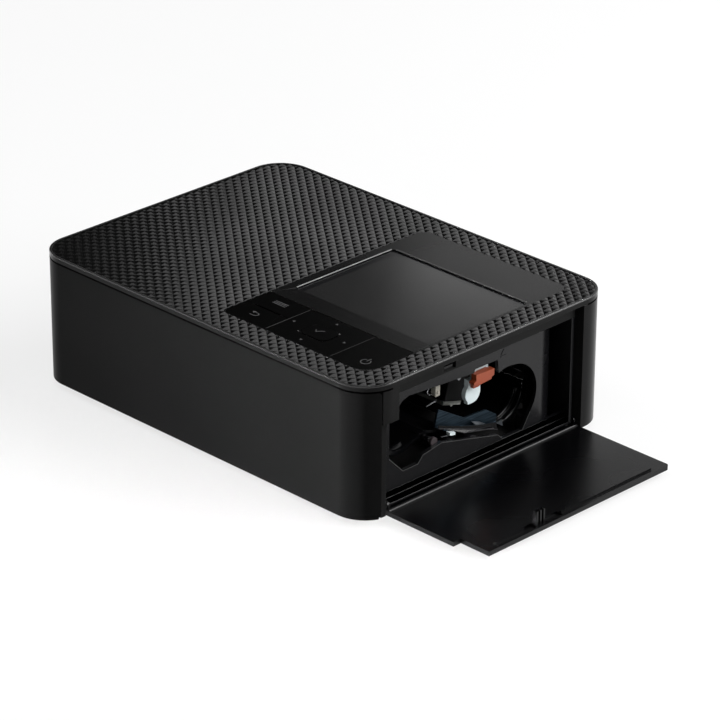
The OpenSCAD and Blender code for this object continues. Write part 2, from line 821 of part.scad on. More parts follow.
module ribbon_motor() in_case() color("#9a9da0") difference() {
    motor(ribbon, 7.8, 22);
    rod_x(ribbon, motor_shaft_r + 0.05, motor_plate_x - 12, motor_plate_x + 1);
}

module ribbon_pinion() in_case() color("#b49a5a") {
    gear(ribbon, ribbon_teeth, ribbon_dir + 180 + 180 / ribbon_teeth, motor_shaft_r - 0.1,
         gear_x - 0.5, gear_x + gear_thick + 0.5);
    rod_x(ribbon, motor_shaft_r, motor_plate_x - 10, gear_x + gear_thick);
}

// Splined hub that turns a ribbon spool
module hub(at, splines) {
    rod_x(at, 8.5, plate_x + 0.4, plate_x + 1.6);
    rod_x(at, 3.2, plate_x + 1.5, plate_x + 13);
    for (i = [0:splines - 1]) {
        translate([0, at[0], at[1]]) rotate([i * 360 / splines, 0, 0])
            block([plate_x + 1.5, -0.5, 2.9], [plate_x + 11, 0.5, 4.4]);
    }
}

module takeup_hub() in_case() color("#c9c7bd") {
    hub(takeup, 6);
    rod_x(takeup, hub_shaft_r, gear_x - 0.5, plate_x + 1);
    gear(takeup, takeup_teeth, ribbon_dir, hub_shaft_r - 0.1, gear_x, gear_x + gear_thick);
}

module supply_hub() in_case() color("#c9c7bd") {
    hub(supply, 6);
    rod_x(supply, hub_shaft_r, plate_x - 3, plate_x + 1);
    rod_x(supply, 2.6, plate_x - 3, plate_x - 1.3);
}

// ---- electronics ----

module main_board() in_case() color("#1d5a36") difference() {
    block([-86, -54, 8.5], [-50, 58, 10.1]);
    for (at = screws_at) translate([at[0], at[1], 8]) cylinder(r = 3.4, h = 3);
}

module board_parts() in_case() color("#26262a") {
    for (at = [[-70, -30], [-60, 5], [-72, 22]]) block([at[0], at[1], 10.1], [at[0] + 12, at[1] + 12, 11.8]);
    for (i = [0:2]) translate([-56, 34 + i * 6, 10.1]) cylinder(r = 2.6, h = 9);
}

module card_slot() in_case() color("#8f9396") difference() {
    block([-88.9, -48, 26.6], [-62, -19, 32.4]);
    block([-92, -45.6, 28.4], [-64, -21.4, 30.6]);
}

module usb_port() in_case() color("#9b9fa2") difference() {
    block([-88.9, -14.6, 26.4], [-74, 0.1, 33.6]);
    block([-92, -13.6, 27.4], [-75, -0.9, 32.6]);
}

module dc_inlet() in_case() color("#151516") difference() {
    union() {
        block([-67, 52, 10.6], [-57, 64.4, 21]);
        rod_y(inlet, 4.4, 64, back - 0.6);
    }
    rod_y(inlet, inlet_r, 55, back + 1);
}

module terminal_cover() in_case() color(shell_color) {
    block([-76.2, back - 0.8, 30.3], [-40.3, back, 39.7]);
}

// ---- feet and screws ----

module rubber_feet() in_case() color("#2b2b2c") {
    for (at = feet_at) translate([at[0], at[1], 0]) cylinder(r = 4.5, h = base_z);
}

module case_screws() in_case() color(steel_color) {
    for (at = concat(screws_at, frame_screws_at)) {
        translate([at[0], at[1], base_z + 0.2]) difference() {
            union() {
                cylinder(r = 2.7, h = 0.8);
                cylinder(r = screw_r, h = 6.7);
            }
            // crossed recess for the driver
            for (turn = [0, 90]) rotate(turn) translate([-1.4, -0.3, -1]) cube([2.8, 0.6, 1.9]);
        }
    }
}

lower_case();
top_cover();
front_cover();
cartridge_door();
control_panel();
lcd_window();
lcd_module();
power_key();
menu_key();
back_key();
ok_key();
nav_pad();
nav_pivot();
key_domes();
key_board();
bay_frame();
front_frame();
left_plate();
gear_plate();
takeup_tray();
supply_tray();
eject_lever();
latch_arm();
lever_spring();
ribbon_guide();
ribbon_sensor();
locating_pin();
head_bracket();
heat_sink();
print_head();
head_pins();
platen_shaft();
platen_sleeve();
capstan_shaft();
capstan_gear();
pinch_rollers();
pickup_arm();
pickup_roller();
idler_gear();
idler_pin();
feed_motor();
feed_pinion();
ribbon_motor();
ribbon_pinion();
takeup_hub();
supply_hub();
main_board();
board_parts();
card_slot();
usb_port();
dc_inlet();
terminal_cover();
door_pins();
cover_pins();
rubber_feet();
case_screws();
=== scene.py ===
"""Compact photo printer: the finishes, small pieces, stage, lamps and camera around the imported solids."""

import math

import bmesh
import bpy
from mathutils import Matrix, Vector


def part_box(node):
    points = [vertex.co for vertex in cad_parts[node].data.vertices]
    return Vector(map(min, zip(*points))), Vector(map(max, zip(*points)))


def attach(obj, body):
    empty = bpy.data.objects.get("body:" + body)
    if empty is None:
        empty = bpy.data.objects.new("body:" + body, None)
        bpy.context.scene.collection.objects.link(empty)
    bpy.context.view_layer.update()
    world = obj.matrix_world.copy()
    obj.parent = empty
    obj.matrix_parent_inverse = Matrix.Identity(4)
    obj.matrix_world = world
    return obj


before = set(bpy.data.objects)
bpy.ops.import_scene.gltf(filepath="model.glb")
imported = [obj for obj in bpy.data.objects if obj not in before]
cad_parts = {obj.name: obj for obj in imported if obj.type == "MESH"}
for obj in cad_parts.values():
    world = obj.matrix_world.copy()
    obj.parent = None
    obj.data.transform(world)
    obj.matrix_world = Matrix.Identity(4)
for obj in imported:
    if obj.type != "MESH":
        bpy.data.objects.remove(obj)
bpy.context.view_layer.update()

MM = 0.001

# The case's own middle in X: the drawing's measures are taken from there, in millimetres.
case_low, case_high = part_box("top_cover")
CASE_X = (case_low[0] + case_high[0]) / 2

# Measures of the solids: half the case's width and depth, its corner radius in plan, its top and the
# seam round it.
HALF_X, HALF_Y, CORNER = 91.1, 66.5, 14.0
CASE_TOP, SEAM = 57.6, 55.3
# The floor of the top's sunk field, and half its width, half its depth and its corner radius.
FIELD_FLOOR = 57.2
FIELD_X, FIELD_Y, FIELD_CORNER = 90.05, 65.45, 12.95
# Left, front, right and back edge of the key panel, of the window in it and of the lit part of the
# display; the panel's corners start at the front left.
PANEL = (2.0, -54.3, 79.3, 55.0)
PANEL_CORNERS = (3.0, 8.0, 5.0, 5.0)
WINDOW = (6.4, -19.9, 78.0, 33.4)
SCREEN = (10.3, -19.3, 77.0, 29.6)
# The outer face of the wall round the ink cartridge bay.
BAY_WALL = 84.2


def spot(x, y, z):
    """A point given in millimetres from the case's middle, in metres of the frame."""
    return Vector((x * MM + CASE_X, y * MM, z * MM))


def side_spot(y, z, x):
    """The same for a drawing of the side, whose height is measured outwards along X."""
    return spot(x, y, z)


def back_spot(x, z, y):
    """The same for a drawing of the back, whose height is measured along Y."""
    return spot(x, y, z)


# ---------------------------------------------------------------- helpers for finishes


def colour(code):
    """An sRGB hex code as the linear colour that shaders use."""
    steps = [int(code[i:i + 2], 16) / 255 for i in (1, 3, 5)]
    return [s / 12.92 if s <= 0.04045 else ((s + 0.055) / 1.055) ** 2.4 for s in steps] + [1.0]


def put(tree, kind, sockets=None, **settings):
    """Adds one shader node, gives it its settings, and sets or links its sockets."""
    node = tree.nodes.new("ShaderNode" + kind)
    for name, value in settings.items():
        setattr(node, name, value)
    for name, value in (sockets or {}).items():
        if isinstance(value, bpy.types.NodeSocket):
            tree.links.new(value, node.inputs[name])
        else:
            node.inputs[name].default_value = value
    return node


def new_finish(name):
    """An empty material, its tree, and the place on the piece that its patterns are read at."""
    finish = bpy.data.materials.new(name)
    finish.use_nodes = True
    tree = finish.node_tree
    tree.nodes.clear()
    return finish, tree, put(tree, "TexCoord").outputs["Object"]


def noise(tree, place, size_mm, detail):
    """Soft noise whose features are about size_mm across."""
    return put(tree, "TexNoise", {"Vector": place, "Scale": 1 / (size_mm * MM), "Detail": detail}).outputs[0]


def remap(tree, value, to_low, to_high, low=0.3, high=0.7):
    """A value moved from one range to another; most of a noise lies between 0.3 and 0.7."""
    return put(tree, "MapRange", {0: value, 1: low, 2: high, 3: to_low, 4: to_high}).outputs[0]


def math_node(tree, operation, first, second, **settings):
    """Two values added or multiplied."""
    return put(tree, "Math", {0: first, 1: second}, operation=operation, **settings).outputs[0]


def blend(tree, share, first, second):
    """A colour between two others, which are hex codes or another node's colour."""
    first, second = (colour(c) if isinstance(c, str) else c for c in (first, second))
    return put(tree, "Mix", {0: share, 6: first, 7: second}, data_type="RGBA").outputs[2]


def stretched(tree, place, scale):
    """The place scaled by axis, so that a pattern is drawn out where the scale is small."""
    return put(tree, "Mapping", {"Vector": place, "Scale": scale}).outputs[0]


def relief(tree, height, strength, depth_mm):
    """A pattern as a fine relief of the surface."""
    return put(tree, "Bump", {"Height": height, "Strength": strength, "Distance": depth_mm * MM}).outputs[0]


def surface(tree, sockets):
    """Closes a material with its shader."""
    shader = put(tree, "BsdfPrincipled", sockets)
    put(tree, "OutputMaterial", {"Surface": shader.outputs[0]})


# ---------------------------------------------------------------- finishes

# Sizes of patterns in millimetres: clouds and handling marks on plastic, oily patches on metal.
CLOUD, MARK, PATCH = 22, 30, 9
# Lines that rolling or grinding leaves: how much they are drawn out, their strength and their depth.
DRAWN_OUT, LINE_STRENGTH, LINE_DEPTH = 0.04, 0.3, 0.01


def moulded(name, base, worn, rough, level, grain_mm, grain_depth, bloom=0.0):
    """Injection-moulded plastic: the tool's grain, clouds where the melt flowed, and handling marks."""
    finish, tree, place = new_finish(name)
    # The colour drifts a little over a wall, where the melt flowed.
    tint = blend(tree, remap(tree, noise(tree, place, CLOUD, 3.0), 0.0, 0.7), base, worn)
    # The gloss changes where hands have wiped the wall, in marks that are drawn out sideways.
    marks = noise(tree, stretched(tree, place, (1, 1, 2.2)), MARK, 1.0)
    gloss = remap(tree, marks, rough - 0.015, rough + 0.02)
    # The tool's grain is a relief: highlights break up finely instead of showing a mirror edge.
    grain = relief(tree, noise(tree, place, grain_mm, 2.0), 0.35, grain_depth)
    surface(tree, {"Base Color": tint, "Roughness": gloss, "Normal": grain, "IOR": 1.53,
                   "Specular IOR Level": level, "Sheen Weight": bloom, "Sheen Roughness": 0.3})
    return finish


# Spark-eroded ABS of the shells: an even, fine grain that keeps highlights broad and dull. The grain is
# about 0.1 mm on the real wall and is drawn at 0.5 mm, so that it shows.
eroded_abs = moulded("spark_eroded_abs", "#090909", "#0e0e0e", 0.46, 0.02, 0.5, 0.03, 1.0)
# The front cover is the same resin from a fresher tool: a shade darker, with less bloom.
cover_abs = moulded("spark_eroded_cover_abs", "#080808", "#0c0c0c", 0.46, 0.02, 0.5, 0.03, 0.37)
# The top's rim is the same resin from a smoother tool.
rim_abs = moulded("smooth_rim_abs", "#050505", "#080808", 0.3, 0.07, 0.5, 0.012, 0.6)
# The inside of the hinged door is a polished wall: nearly black, and it mirrors what stands behind it.
door_abs = moulded("polished_door_abs", "#020203", "#030304", 0.27, 0.22, 1.2, 0.004)
# The top's sunk field: its small faces come from a smoother tool than the walls, so they gleam more.
field_abs = moulded("fine_eroded_field", "#020202", "#040404", 0.18, 0.16, 0.5, 0.008)
# The same resin from a finer tool, for the frames inside: a little smoother.
frame_abs = moulded("fine_moulded_abs", "#0c0c0e", "#121213", 0.26, 0.25, 0.6, 0.01)
# Polished-tool styrene of the ink trays: smooth and glossy, so their ribs carry thin bright lines.
tray_styrene = moulded("polished_styrene", "#040405", "#070709", 0.2, 0.45, 3.0, 0.01)
# Painted and buffed ABS of the key panel: satin, with a soft gleam.
panel_paint = moulded("buffed_satin_paint", "#020202", "#040404", 0.26, 0.22, 0.8, 0.006)
# The keys carry the same paint, buffed less.
key_paint = moulded("buffed_key_paint", "#010101", "#020202", 0.3, 0.03, 0.8, 0.006)
# Orange ABS of the lever: satin and warm.
lever_abs = moulded("orange_moulded_abs", "#84391d", "#94452a", 0.4, 0.4, 0.6, 0.02)
# Acetal is waxy, with a soft broad gleam: natural white, ivory and dyed grey.
white_pom = moulded("white_acetal", "#c9d4d6", "#d6dee0", 0.32, 0.5, 0.8, 0.015)
ivory_pom = moulded("ivory_acetal", "#8d8a80", "#9c988c", 0.36, 0.5, 0.8, 0.015)
grey_pom = moulded("grey_acetal", "#2f292b", "#393234", 0.4, 0.4, 0.8, 0.015)
# Glass-filled resin of the print head's bridge: dry and dark, with the fibres as a coarse grain.
head_resin = moulded("glass_filled_resin", "#060606", "#0a0a0a", 0.5, 0.15, 0.7, 0.05)
# The rim's chamfer is polished, so it mirrors the lamps as one thin line.
chamfer_abs = moulded("polished_chamfer", "#0a0a0a", "#101010", 0.24, 0.5, 0.8, 0.004)
# Mid-grey paint for thin pale lines: painted highlights along the window's back edge, in the gaps beside the
# navigation pad and along the bay opening's lower edge.
dim_highlight_paint = moulded("dim_painted_highlight", "#323232", "#464646", 0.4, 0.3, 0.6, 0.01)
# Pale grey paint for thin bright lines: painted highlights on the window's left edge and painted glints at
# two corners of the key well.
edge_highlight_paint = moulded("bright_painted_highlight", "#8f8f8f", "#a0a0a0", 0.3, 0.5, 0.6, 0.01)
# Silicone of the key domes: soft, dull and greyish.
silicone = moulded("moulded_silicone", "#63656a", "#6d7074", 0.5, 0.4, 0.8, 0.02)
# Moulded epoxy of chips and connector insides.
epoxy = moulded("moulded_epoxy", "#17171a", "#202024", 0.4, 0.45, 0.5, 0.02)


def window_finish():
    """Hard-coated acrylic over a display that is off: the lit area is a shade paler than its border."""
    finish, tree, place = new_finish("hard_coated_acrylic")
    axes = put(tree, "SeparateXYZ", {0: place})
    left, front, right, back = SCREEN
    fade = 0.15 * MM
    inside = 1.0
    for axis, shift, low, high in (("X", CASE_X, left, right), ("Y", 0.0, front, back)):
        for edge, before, after in ((low, 0.0, 1.0), (high, 1.0, 0.0)):
            at = edge * MM + shift
            step = remap(tree, axes.outputs[axis], before, after, at - fade, at + fade)
            inside = math_node(tree, "MULTIPLY", inside, step)
    tint = blend(tree, inside, "#08080a", "#1b1b1b")
    # A breath of haze from wiping: the reflection is not equally sharp everywhere.
    gloss = remap(tree, noise(tree, place, 14, 3.0), 0.17, 0.21)
    surface(tree, {"Base Color": tint, "Roughness": gloss, "IOR": 1.49, "Specular IOR Level": 0.5})
    return finish


def worked_lines(tree, place, line_mm, long_axis):
    """The fine lines that rolling or grinding leaves, long in one direction."""
    scale = [DRAWN_OUT if axis == long_axis else 1.0 for axis in range(3)]
    return noise(tree, stretched(tree, place, scale), line_mm, 3.0)


def worked_metal(name, base, streak, rough, line_mm, long_axis):
    """Sheet or ground metal: its worked lines show in the colour and as a relief."""
    finish, tree, place = new_finish(name)
    lines = worked_lines(tree, place, line_mm, long_axis)
    tint = blend(tree, remap(tree, lines, 0.0, 1.0, 0.35, 0.65), base, streak)
    # Oil and fingers dull the metal in patches.
    gloss = remap(tree, noise(tree, place, PATCH, 2.0), rough - 0.05, rough + 0.08)
    ridges = relief(tree, lines, LINE_STRENGTH, LINE_DEPTH)
    surface(tree, {"Base Color": tint, "Roughness": gloss, "Normal": ridges, "Metallic": 1.0})
    return finish


def zinc_finish():
    """Zinc-plated sheet: a cool grey with crystal spangles a few millimetres wide under rolling lines."""
    finish, tree, place = new_finish("zinc_plated_sheet")
    crystal = put(tree, "TexVoronoi", {"Vector": place, "Scale": 1 / (4 * MM)}).outputs["Color"]
    grey = put(tree, "SeparateColor", {0: crystal}).outputs[0]
    tint = blend(tree, grey, "#7f858c", "#9aa0a6")
    gloss = remap(tree, grey, 0.3, 0.42, 0.0, 1.0)
    ridges = relief(tree, worked_lines(tree, place, 0.5, 1), LINE_STRENGTH, LINE_DEPTH)
    surface(tree, {"Base Color": tint, "Roughness": gloss, "Normal": ridges, "Metallic": 1.0})
    return finish


def rubber(name, base, dust, rough, grain_mm):
    """Ground rubber: dry and matte, with a powdery bloom in patches."""
    finish, tree, place = new_finish(name)
    tint = blend(tree, remap(tree, noise(tree, place, 3, 4.0), 0.0, 1.0), base, dust)
    ground = relief(tree, noise(tree, place, grain_mm, 2.0), 0.5, 0.03)
    surface(tree, {"Base Color": tint, "Roughness": rough, "Normal": ground, "Specular IOR Level": 0.3})
    return finish


def board_finish():
    """Solder mask over etched copper on glass fibre: tracks stand out a shade paler and slightly raised."""
    finish, tree, place = new_finish("solder_masked_board")
    tracks = put(tree, "TexBrick", {"Vector": place, "Scale": 1 / (6 * MM), "Mortar Size": 0.05,
                                    "Color1": (0, 0, 0, 1), "Color2": (0.1, 0.1, 0.1, 1),
                                    "Mortar": (1, 1, 1, 1)}, offset=0.37).outputs[0]
    mask = blend(tree, noise(tree, place, 1.2, 2.0), "#0e4a2b", "#125534")
    tint = blend(tree, tracks, mask, "#2b7a50")
    surface(tree, {"Base Color": tint, "Roughness": 0.38, "Normal": relief(tree, tracks, 0.4, 0.03)})
    return finish


def ceramic_finish():
    """Glazed alumina: hard, pale and glossy, with a faint speckle."""
    finish, tree, place = new_finish("glazed_alumina")
    speck = noise(tree, place, 0.8, 3.0)
    tint = blend(tree, speck, "#8f918d", "#a6a8a3")
    gloss = remap(tree, speck, 0.14, 0.24)
    surface(tree, {"Base Color": tint, "Roughness": gloss, "Coat Weight": 0.5, "Coat Roughness": 0.05})
    return finish


def ink_finish():
    """Pad-printed ink of the pictograms: a pale grey film, thinner in tiny pinholes."""
    finish, tree, place = new_finish("pad_printed_ink")
    holes = remap(tree, noise(tree, place, 0.25, 2.0), 0.0, 0.8, 0.6, 0.75)
    tint = blend(tree, holes, "#4c4c4d", "#161616")
    surface(tree, {"Base Color": tint, "Roughness": 0.5, "Specular IOR Level": 0.3})
    return finish


def painted_shade_finish():
    """Near-black paint that stands in for shade in the seam and on the sill's slope, with a faint mottle and
    relief.
    """
    finish, tree, place = new_finish("black_painted_shade")
    shade_mottle = noise(tree, place, 0.4, 3.0)
    tint = blend(tree, shade_mottle, "#000000", "#010101")
    mottle_relief = relief(tree, shade_mottle, 0.5, 0.05)
    surface(tree, {"Base Color": tint, "Roughness": 0.9, "Normal": mottle_relief, "Specular IOR Level": 0.0})
    return finish


acrylic = window_finish()
# Near-black paint for painted shade in the seam and on the sill's slope.
painted_shade = painted_shade_finish()
# Spring steel worn by the ribbon's sledge: duller than the ground shafts.
worn_steel = worked_metal("worn_spring_steel", "#58585a", "#77777a", 0.36, 0.4, 1)
# Zinc-plated sheet of the chassis, motors and connector shells, and ground steel of the shafts.
zinc = zinc_finish()
bright = worked_metal("ground_steel", "#b4b6ba", "#cfd1d4", 0.22, 0.3, 0)
# Blued spring steel of the ribbon guide: its temper lines run along the path.
blued = worked_metal("blued_steel_sheet", "#26323b", "#43525e", 0.4, 0.7, 1)
# Blackened sheet of the gear train's plate: the same rolling lines under a dark oxide.
blackened = worked_metal("blackened_steel_sheet", "#0d1016", "#161b22", 0.42, 0.5, 0)
# Extruded aluminium of the heat sink, and cut brass of the pinions and the inlet's pin.
alloy = worked_metal("extruded_aluminium", "#8f9296", "#a3a6a9", 0.36, 0.5, 0)
brass = worked_metal("cut_brass", "#c2a24f", "#d8bc6c", 0.28, 0.3, 0)
# Rubber: ground round on the rollers, moulded for the feet.
roller_rubber = rubber("ground_rubber", "#161617", "#232324", 0.7, 0.4)
foot_rubber = rubber("moulded_foot_rubber", "#141415", "#1e1e1f", 0.75, 0.5)
board = board_finish()
ceramic = ceramic_finish()
ink = ink_finish()

NODE_FINISH = {
    eroded_abs: "lower_case terminal_cover",
    cover_abs: "front_cover",
    rim_abs: "top_cover",
    door_abs: "cartridge_door",
    frame_abs: "bay_frame front_frame nav_pivot pickup_arm dc_inlet",
    tray_styrene: "takeup_tray supply_tray",
    panel_paint: "control_panel",
    key_paint: "power_key menu_key back_key ok_key nav_pad",
    acrylic: "lcd_window lcd_module",
    lever_abs: "eject_lever",
    white_pom: "latch_arm",
    ivory_pom: "ribbon_sensor capstan_gear idler_gear takeup_hub supply_hub",
    grey_pom: "locating_pin",
    head_resin: "head_bracket",
    silicone: "key_domes",
    epoxy: "board_parts",
    blackened: "gear_plate",
    zinc: "left_plate feed_motor ribbon_motor card_slot usb_port",
    bright: "lever_spring head_pins platen_shaft capstan_shaft idler_pin door_pins cover_pins case_screws",
    blued: "ribbon_guide",
    alloy: "heat_sink",
    brass: "feed_pinion ribbon_pinion",
    roller_rubber: "platen_sleeve pinch_rollers pickup_roller",
    foot_rubber: "rubber_feet",
    board: "key_board main_board",
    ceramic: "print_head",
}
for finish, names in NODE_FINISH.items():
    for name in names.split():
        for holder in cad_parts[name].material_slots:
            holder.material = finish


# ---------------------------------------------------------------- edges of the solids

# Edges that turn by more than this many degrees are rounded, in this many steps.
SHARP, ROUND_STEPS = 32, 2
# How much a face's size weighs in the smoothed shading.
FACE_WEIGHT = 80
# Corners closer than this many metres are one corner.
SAME_SPOT = 2e-6


def soften(name, width_mm):
    """Rounds a solid's sharp edges as a moulding tool does, and shades its curves smoothly."""
    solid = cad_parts[name]
    weld = solid.modifiers.new("weld", "WELD")
    weld.merge_threshold = SAME_SPOT
    bevel = solid.modifiers.new("edge", "BEVEL")
    bevel.width = width_mm * MM
    bevel.segments = ROUND_STEPS
    bevel.limit_method = "ANGLE"
    bevel.angle_limit = math.radians(SHARP)
    bevel.use_clamp_overlap = True
    smooth = solid.modifiers.new("normals", "WEIGHTED_NORMAL")
    smooth.keep_sharp = False
    smooth.weight = FACE_WEIGHT


# Widths of the rounded edges, in millimetres.
EDGE_WIDTHS = {
    0.1: "ribbon_guide",
    0.12: "left_plate",
    0.15: "control_panel heat_sink",
    0.2: "top_cover takeup_hub supply_hub power_key menu_key back_key nav_pad",
    0.25: "takeup_tray supply_tray latch_arm head_bracket ok_key ribbon_sensor",
    0.3: "lower_case front_cover cartridge_door bay_frame front_frame eject_lever locating_pin",
}
for width, names in EDGE_WIDTHS.items():
    for name in names.split():
        soften(name, width)


# ---------------------------------------------------------------- helpers for small pieces


def as_object(name, shape):
    """A finished shape as an object in the scene."""
    mesh = bpy.data.meshes.new(name)
    shape.to_mesh(mesh)
    shape.free()
    made = bpy.data.objects.new(name, mesh)
    bpy.context.scene.collection.objects.link(made)
    return made


def piece(name, shape, finish, body):
    """A finished shape as a piece of its own, riding on a body."""
    bmesh.ops.recalc_face_normals(shape, faces=shape.faces)
    made = as_object(name, shape)
    made.data.materials.append(finish)
    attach(made, body)
    return made


def prism(shape, outline, low, high, lay=spot):
    """Adds a closed prism over an outline in millimetres; lay turns its points into places."""
    floor = [shape.verts.new(lay(u, v, low)) for u, v in outline]
    top = [shape.verts.new(lay(u, v, high)) for u, v in outline]
    shape.faces.new(floor[::-1])
    shape.faces.new(top)
    for i in range(len(floor)):
        j = (i + 1) % len(floor)
        shape.faces.new((floor[i], floor[j], top[j], top[i]))


def plate(name, outline, low, high, lay, finish, body):
    """One flat piece of an even thickness."""
    shape = bmesh.new()
    prism(shape, outline, low, high, lay)
    return piece(name, shape, finish, body)


def rectangle(x0, y0, x1, y1):
    """A rectangle's outline."""
    return [(x0, y0), (x1, y0), (x1, y1), (x0, y1)]


def rounded(x0, y0, x1, y1, radii, steps=8):
    """A rectangle's outline with a radius of its own at front left, front right, back right, back left."""
    corners = ((x0, y0, 1, 1), (x1, y0, -1, 1), (x1, y1, -1, -1), (x0, y1, 1, -1))
    points = []
    for (cx, cy, sx, sy), r, turn in zip(corners, radii, (180, 270, 0, 90)):
        points += arc(cx + sx * r, cy + sy * r, r, turn, turn + 90, steps)
    return points


def arc(cx, cy, r, start, end, steps=16):
    """Points along an arc, its angles in degrees."""
    turns = [math.radians(start + (end - start) * i / steps) for i in range(steps + 1)]
    return [(cx + r * math.cos(a), cy + r * math.sin(a)) for a in turns]


def stroke(line, width):
    """The outline of a pen stroke of an even width along a line of points, with square ends."""
    left, right = [], []
    for i, (x, y) in enumerate(line):
        ahead = Vector(line[min(i + 1, len(line) - 1)]) - Vector(line[max(i - 1, 0)])
        ahead.normalize()
        nx, ny = -ahead.y * width / 2, ahead.x * width / 2
        left.append((x + nx, y + ny))
        right.append((x - nx, y - ny))
    return left + right[::-1]


def band(start, end, width):
    """A straight strip's outline in a side drawing, hanging below its two upper points."""
    return [start, end, (end[0], end[1] - width), (start[0], start[1] - width)]


def wire(name, points, radius, finish, sides=8):
    """A bent wire of round section along points in millimetres."""
    shape = bmesh.new()
    rings = []
    for i, at in enumerate(points):
        ahead = (Vector(points[min(i + 1, len(points) - 1)]) - Vector(points[max(i - 1, 0)])).normalized()
        one = ahead.orthogonal().normalized()
        other = ahead.cross(one)
        ring = []
        for s in range(sides):
            a = 2 * math.pi * s / sides
            p = Vector(at) + (one * math.cos(a) + other * math.sin(a)) * radius
            ring.append(shape.verts.new(spot(*p)))
        rings.append(ring)
    for first, second in zip(rings, rings[1:]):
        for s in range(sides):
            t = (s + 1) % sides
            shape.faces.new((first[s], first[t], second[t], second[s]))
    shape.faces.new(rings[0][::-1])
    shape.faces.new(rings[-1])
    made = piece(name, shape, finish, "case")
    for face in made.data.polygons:
        face.use_smooth = True


# How far a cut through the top's field reaches below its floor and above it.
CUT_DOWN, CUT_UP = 0.7, 1.3


def cut(target, outline, operation):
    """Cuts an object by an upright prism over an outline and keeps the result as plain geometry."""
    shape = bmesh.new()
    prism(shape, outline, FIELD_FLOOR - CUT_DOWN, FIELD_FLOOR + CUT_UP)
    bmesh.ops.recalc_face_normals(shape, faces=shape.faces)
    cutter = as_object("cutter", shape)
    knife = target.modifiers.new("cut", "BOOLEAN")
    knife.operation = operation
    knife.solver = "EXACT"
    knife.object = cutter
    bpy.context.view_layer.update()
    done = bpy.data.meshes.new_from_object(target.evaluated_get(bpy.context.evaluated_depsgraph_get()))
    target.modifiers.clear()
    target.data = done
    bpy.data.objects.remove(cutter)


# ---------------------------------------------------------------- the top

# Low pyramids on a diamond lattice, 5.15 by 4.25 mm, with flat sloping faces, so each one catches the
# light on one side. They lie in the top's sunk field, round the key panel.
STEP_X, STEP_Y = 2.576, 2.123
START_X, START_Y = 1.51, 2.39
PEAK = 0.39
ACROSS, DEEP = range(-38, 38), range(-35, 32)
# The pyramids' feet stand just clear of the field's floor, and their block reaches below it.
FOOT_GAP, BLOCK_DEPTH = 0.01, 0.15
# Room left round the key panel.
PANEL_GAP = 0.05


def textured_field():
    """The moulded field: a sheet of pyramids, closed into a solid and cut to the field's outline."""
    shape = bmesh.new()
    top = {}
    for i in ACROSS:
        for j in DEEP:
            height = PEAK if (i + j) % 2 == 0 else 0.0
            x, y = START_X + STEP_X * i, START_Y + STEP_Y * j
            top[i, j] = shape.verts.new(spot(x, y, FIELD_FLOOR + FOOT_GAP + height))
    for i in ACROSS[:-1]:
        for j in DEEP[:-1]:
            a, b, c, d = top[i, j], top[i + 1, j], top[i + 1, j + 1], top[i, j + 1]
            halves = ((a, b, d), (b, c, d)) if (i + j) % 2 == 0 else ((a, b, c), (a, c, d))
            for half in halves:
                shape.faces.new(half)
    # A skirt and a floor close the sheet into a solid.
    edges = [e for e in shape.edges if e.is_boundary]
    skirt = bmesh.ops.extrude_edge_only(shape, edges=edges)["geom"]
    for v in skirt:
        if isinstance(v, bmesh.types.BMVert):
            v.co.z = (FIELD_FLOOR - BLOCK_DEPTH) * MM
    rim = [e for e in skirt if isinstance(e, bmesh.types.BMEdge) and e.is_boundary]
    bmesh.ops.edgeloop_fill(shape, edges=rim)
    made = piece("textured_field", shape, field_abs, "case")
    cut(made, rounded(-FIELD_X, -FIELD_Y, FIELD_X, FIELD_Y, (FIELD_CORNER,) * 4, 16), "INTERSECT")
    x0, y0, x1, y1 = PANEL
    round_panel = rounded(x0 - PANEL_GAP, y0 - PANEL_GAP, x1 + PANEL_GAP, y1 + PANEL_GAP,
                          [r + PANEL_GAP for r in PANEL_CORNERS], 10)
    cut(made, round_panel, "DIFFERENCE")


textured_field()


def case_loop(shape, grow, z):
    """One ring of points round the case, moved outwards by grow."""
    x, y = HALF_X + grow, HALF_Y + grow
    return [shape.verts.new(spot(u, v, z)) for u, v in rounded(-x, -y, x, y, (CORNER + grow,) * 4, 12)]


def case_ring(name, section, finish, past_door=True):
    """A ring round the case whose section is a loop of (outwards, up) points; it can stop at the door."""
    shape = bmesh.new()
    loops = [case_loop(shape, grow, z) for grow, z in section]
    # The door's side lies between the second corner's last point and the third corner's first.
    before_door = len(loops[0]) // 2 - 1
    for first, second in zip(loops, loops[1:] + loops[:1]):
        for i in range(len(first)):
            if past_door or i != before_door:
                j = (i + 1) % len(first)
                shape.faces.new((first[i], first[j], second[j], second[i]))
    if not past_door:
        shape.faces.new([loop[before_door] for loop in loops])
        shape.faces.new([loop[before_door + 1] for loop in loops][::-1])
    return piece(name, shape, finish, "case")


# The rim's chamfer stands this far out, and its ring reaches this far into the cover.
RIM_OUT, RIM_CHAMFER, RIM_DEPTH = 0.06, 0.22, 0.5
RIM_SECTION = [(RIM_OUT, CASE_TOP - RIM_DEPTH), (RIM_OUT, CASE_TOP + RIM_OUT - RIM_CHAMFER),
               (RIM_OUT - RIM_CHAMFER, CASE_TOP + RIM_OUT), (-RIM_DEPTH, CASE_TOP + RIM_OUT),
               (-RIM_DEPTH, CASE_TOP - RIM_DEPTH)]
case_ring("rim_chamfer", RIM_SECTION, chamfer_abs)
